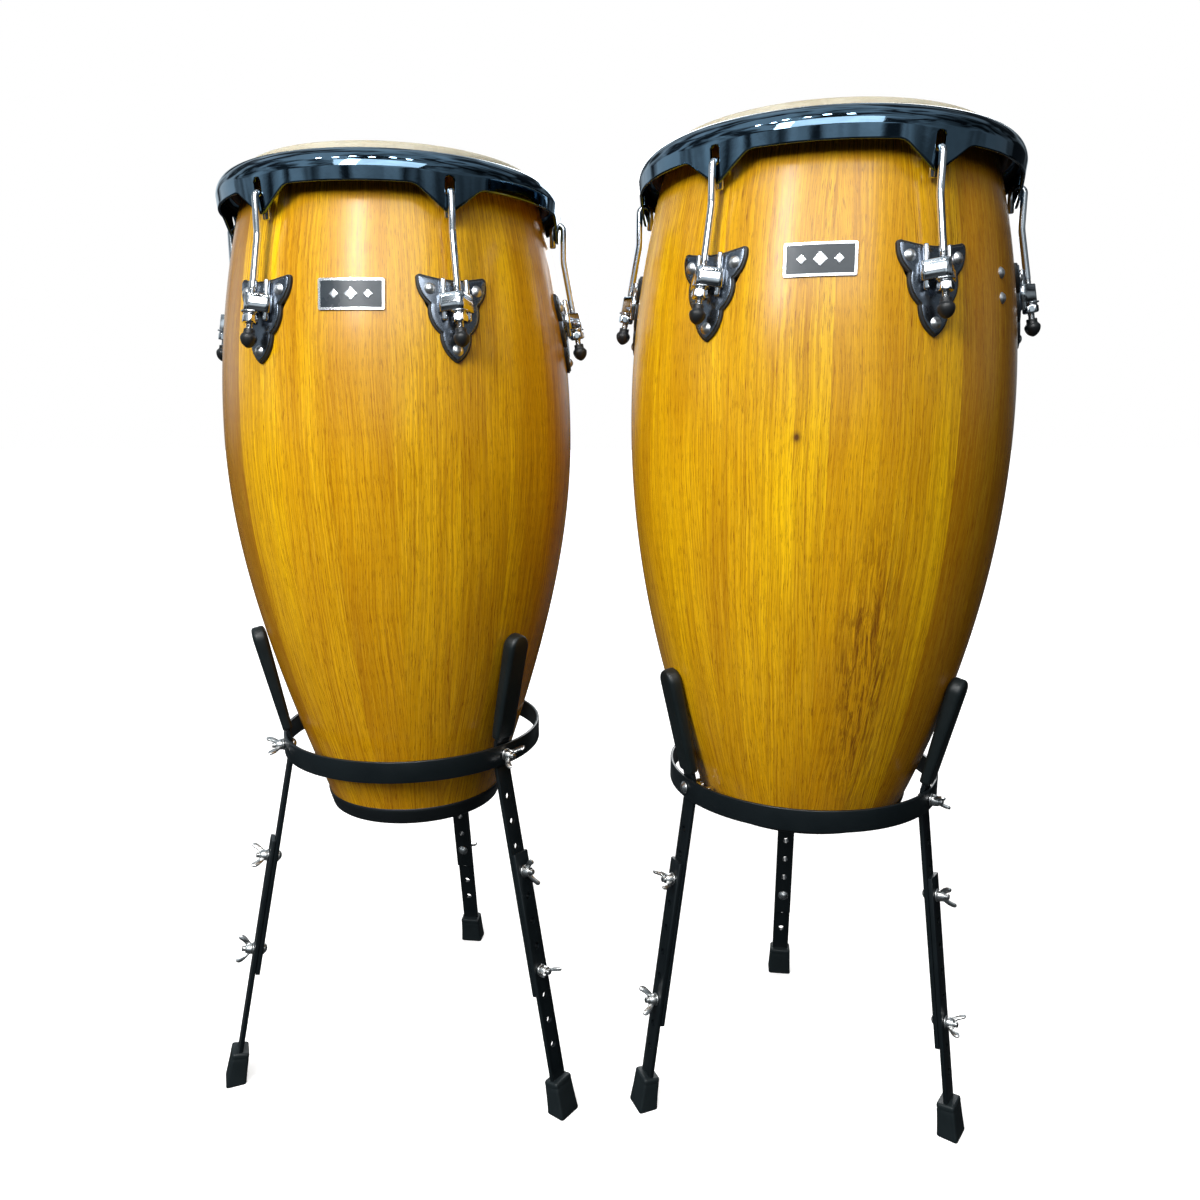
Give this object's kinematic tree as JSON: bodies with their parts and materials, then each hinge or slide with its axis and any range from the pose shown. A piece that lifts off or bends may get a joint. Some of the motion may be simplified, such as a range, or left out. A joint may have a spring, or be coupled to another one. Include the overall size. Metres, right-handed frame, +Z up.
{
  "type": "conga drum pair on basket stands",
  "caption": "Barrel-shaped hand drums with chromed crown rims, each lifted out of a three-legged basket stand of flat steel bar",
  "frame": {"origin": "on the floor, under the middle of the box round both drums and stands", "axes": "+Z up, +X from the quinto's side towards the conga's side, +Y away from the player"},
  "size_m": [0.8369, 0.4701, 0.9773],
  "materials": {
    "wood": "clear gloss lacquer over amber wood",
    "chrome": "polished",
    "zinc": "zinc plated",
    "badge_metal": "satin",
    "hide": "rawhide",
    "black_rubber": "moulded",
    "stand_paint": "black gloss"
  },
  "bodies": {
    "quinto_stand": {"quinto_stand_ring": "stand_paint", "quinto_stand_uprights": "stand_paint", "quinto_arm_sleeves": "black_rubber", "quinto_stand_wing_bolts": "zinc"},
    "quinto_drum": {"quinto_shell_staves": "wood", "quinto_base_band": "black_rubber", "quinto_lug_gaskets": "black_rubber", "quinto_lugs": "chrome", "quinto_shell_fasteners": "chrome", "quinto_badge": "badge_metal", "quinto_head_skin": "hide"},
    "quinto_rim": {"quinto_flesh_hoop": "chrome", "quinto_rim": "chrome", "quinto_tuning_hooks": "chrome", "quinto_hook_caps": "black_rubber"},
    "quinto_nut_1": {"quinto_tuning_nut_1": "chrome"},
    "quinto_nut_2": {"quinto_tuning_nut_2": "chrome"},
    "quinto_nut_3": {"quinto_tuning_nut_3": "chrome"},
    "quinto_nut_4": {"quinto_tuning_nut_4": "chrome"},
    "quinto_nut_5": {"quinto_tuning_nut_5": "chrome"},
    "quinto_nut_6": {"quinto_tuning_nut_6": "chrome"},
    "quinto_leg_1": {"quinto_lower_leg_1": "stand_paint", "quinto_foot_1": "black_rubber", "quinto_wing_bolt_1": "zinc"},
    "quinto_leg_2": {"quinto_lower_leg_2": "stand_paint", "quinto_foot_2": "black_rubber", "quinto_wing_bolt_2": "zinc"},
    "quinto_leg_3": {"quinto_lower_leg_3": "stand_paint", "quinto_foot_3": "black_rubber", "quinto_wing_bolt_3": "zinc"},
    "conga_stand": {"conga_stand_ring": "stand_paint", "conga_stand_uprights": "stand_paint", "conga_arm_sleeves": "black_rubber", "conga_stand_wing_bolts": "zinc"},
    "conga_drum": {"conga_shell_staves": "wood", "conga_base_band": "black_rubber", "conga_lug_gaskets": "black_rubber", "conga_lugs": "chrome", "conga_shell_fasteners": "chrome", "conga_badge": "badge_metal", "conga_head_skin": "hide"},
    "conga_rim": {"conga_flesh_hoop": "chrome", "conga_rim": "chrome", "conga_tuning_hooks": "chrome", "conga_hook_caps": "black_rubber"},
    "conga_nut_1": {"conga_tuning_nut_1": "chrome"},
    "conga_nut_2": {"conga_tuning_nut_2": "chrome"},
    "conga_nut_3": {"conga_tuning_nut_3": "chrome"},
    "conga_nut_4": {"conga_tuning_nut_4": "chrome"},
    "conga_nut_5": {"conga_tuning_nut_5": "chrome"},
    "conga_nut_6": {"conga_tuning_nut_6": "chrome"},
    "conga_leg_1": {"conga_lower_leg_1": "stand_paint", "conga_foot_1": "black_rubber", "conga_wing_bolt_1": "zinc"},
    "conga_leg_2": {"conga_lower_leg_2": "stand_paint", "conga_foot_2": "black_rubber", "conga_wing_bolt_2": "zinc"},
    "conga_leg_3": {"conga_lower_leg_3": "stand_paint", "conga_foot_3": "black_rubber", "conga_wing_bolt_3": "zinc"}
  },
  "joints": [
    {"name": "conga_stand_place", "type": "slide", "parent": "quinto_stand", "child": "conga_stand", "axis": [1, 0, 0], "range_m": [0, 0.3]},
    {"name": "quinto_lift", "type": "slide", "parent": "quinto_stand", "child": "quinto_drum", "axis": [0, 0, 1], "range_m": [0, 0.3]},
    {"name": "quinto_tuning", "type": "slide", "parent": "quinto_drum", "child": "quinto_rim", "axis": [0, 0, 1], "range_m": [-0.002, 0.002]},
    {"name": "quinto_nut_1_turn", "type": "hinge", "parent": "quinto_drum", "child": "quinto_nut_1", "pos_m": [-0.11966, -0.15266, 0.80911], "axis": [-0.0856, 0.1609, 0.9833], "range_deg": [-567, 567]},
    {"name": "quinto_nut_2_turn", "type": "hinge", "parent": "quinto_drum", "child": "quinto_nut_2", "pos_m": [-0.02145, 0.00451, 0.80911], "axis": [-0.1821, 0.0064, 0.9833], "range_deg": [-567, 567]},
    {"name": "quinto_nut_3_turn", "type": "hinge", "parent": "quinto_drum", "child": "quinto_nut_3", "pos_m": [-0.10846, 0.16815, 0.80911], "axis": [-0.0966, -0.1545, 0.9833], "range_deg": [-567, 567]},
    {"name": "quinto_nut_4_turn", "type": "hinge", "parent": "quinto_drum", "child": "quinto_nut_4", "pos_m": [-0.29367, 0.17462, 0.80911], "axis": [0.0856, -0.1609, 0.9833], "range_deg": [-567, 567]},
    {"name": "quinto_nut_5_turn", "type": "hinge", "parent": "quinto_drum", "child": "quinto_nut_5", "pos_m": [-0.39188, 0.01745, 0.80911], "axis": [0.1821, -0.0064, 0.9833], "range_deg": [-567, 567]},
    {"name": "quinto_nut_6_turn", "type": "hinge", "parent": "quinto_drum", "child": "quinto_nut_6", "pos_m": [-0.30488, -0.14619, 0.80911], "axis": [0.0966, 0.1545, 0.9833], "range_deg": [-567, 567]},
    {"name": "quinto_leg_1_length", "type": "slide", "parent": "quinto_stand", "child": "quinto_leg_1", "axis": [-0.1842, -0.0763, -0.9799], "range_m": [-0.081, 0.081]},
    {"name": "quinto_leg_2_length", "type": "slide", "parent": "quinto_stand", "child": "quinto_leg_2", "axis": [0.1582, -0.1214, -0.9799], "range_m": [-0.081, 0.081]},
    {"name": "quinto_leg_3_length", "type": "slide", "parent": "quinto_stand", "child": "quinto_leg_3", "axis": [0.026, 0.1977, -0.9799], "range_m": [-0.081, 0.081]},
    {"name": "conga_lift", "type": "slide", "parent": "conga_stand", "child": "conga_drum", "axis": [0, 0, 1], "range_m": [0, 0.3]},
    {"name": "conga_tuning", "type": "slide", "parent": "conga_drum", "child": "conga_rim", "axis": [0, 0, 1], "range_m": [-0.002, 0.002]},
    {"name": "conga_nut_1_turn", "type": "hinge", "parent": "conga_drum", "child": "conga_nut_1", "pos_m": [0.27565, -0.22486, 0.82511], "axis": [-0.0533, 0.1743, 0.9833], "range_deg": [-567, 567]},
    {"name": "conga_nut_2_turn", "type": "hinge", "parent": "conga_drum", "child": "conga_nut_2", "pos_m": [0.40818, -0.08273, 0.82511], "axis": [-0.1776, 0.041, 0.9833], "range_deg": [-567, 567]},
    {"name": "conga_nut_3_turn", "type": "hinge", "parent": "conga_drum", "child": "conga_nut_3", "pos_m": [0.35137, 0.1031, 0.82511], "axis": [-0.1243, -0.1333, 0.9833], "range_deg": [-567, 567]},
    {"name": "conga_nut_4_turn", "type": "hinge", "parent": "conga_drum", "child": "conga_nut_4", "pos_m": [0.16202, 0.14682, 0.82511], "axis": [0.0533, -0.1743, 0.9833], "range_deg": [-567, 567]},
    {"name": "conga_nut_5_turn", "type": "hinge", "parent": "conga_drum", "child": "conga_nut_5", "pos_m": [0.02949, 0.0047, 0.82511], "axis": [0.1776, -0.041, 0.9833], "range_deg": [-567, 567]},
    {"name": "conga_nut_6_turn", "type": "hinge", "parent": "conga_drum", "child": "conga_nut_6", "pos_m": [0.0863, -0.18114, 0.82511], "axis": [0.1243, 0.1333, 0.9833], "range_deg": [-567, 567]},
    {"name": "conga_leg_1_length", "type": "slide", "parent": "conga_stand", "child": "conga_leg_1", "axis": [-0.1206, -0.05, -0.9914], "range_m": [-0.054, 0.108]},
    {"name": "conga_leg_2_length", "type": "slide", "parent": "conga_stand", "child": "conga_leg_2", "axis": [0.1036, -0.0795, -0.9914], "range_m": [-0.054, 0.108]},
    {"name": "conga_leg_3_length", "type": "slide", "parent": "conga_stand", "child": "conga_leg_3", "axis": [0.017, 0.1294, -0.9914], "range_m": [-0.054, 0.108]}
  ],
  "couplings": [
    {"joint": "quinto_nut_1_turn", "follows": "quinto_tuning", "rad_per_m": -4947.4},
    {"joint": "quinto_nut_2_turn", "follows": "quinto_tuning", "rad_per_m": -4947.4},
    {"joint": "quinto_nut_3_turn", "follows": "quinto_tuning", "rad_per_m": -4947.4},
    {"joint": "quinto_nut_4_turn", "follows": "quinto_tuning", "rad_per_m": -4947.4},
    {"joint": "quinto_nut_5_turn", "follows": "quinto_tuning", "rad_per_m": -4947.4},
    {"joint": "quinto_nut_6_turn", "follows": "quinto_tuning", "rad_per_m": -4947.4},
    {"joint": "conga_nut_1_turn", "follows": "conga_tuning", "rad_per_m": -4947.4},
    {"joint": "conga_nut_2_turn", "follows": "conga_tuning", "rad_per_m": -4947.4},
    {"joint": "conga_nut_3_turn", "follows": "conga_tuning", "rad_per_m": -4947.4},
    {"joint": "conga_nut_4_turn", "follows": "conga_tuning", "rad_per_m": -4947.4},
    {"joint": "conga_nut_5_turn", "follows": "conga_tuning", "rad_per_m": -4947.4},
    {"joint": "conga_nut_6_turn", "follows": "conga_tuning", "rad_per_m": -4947.4}
  ]
}
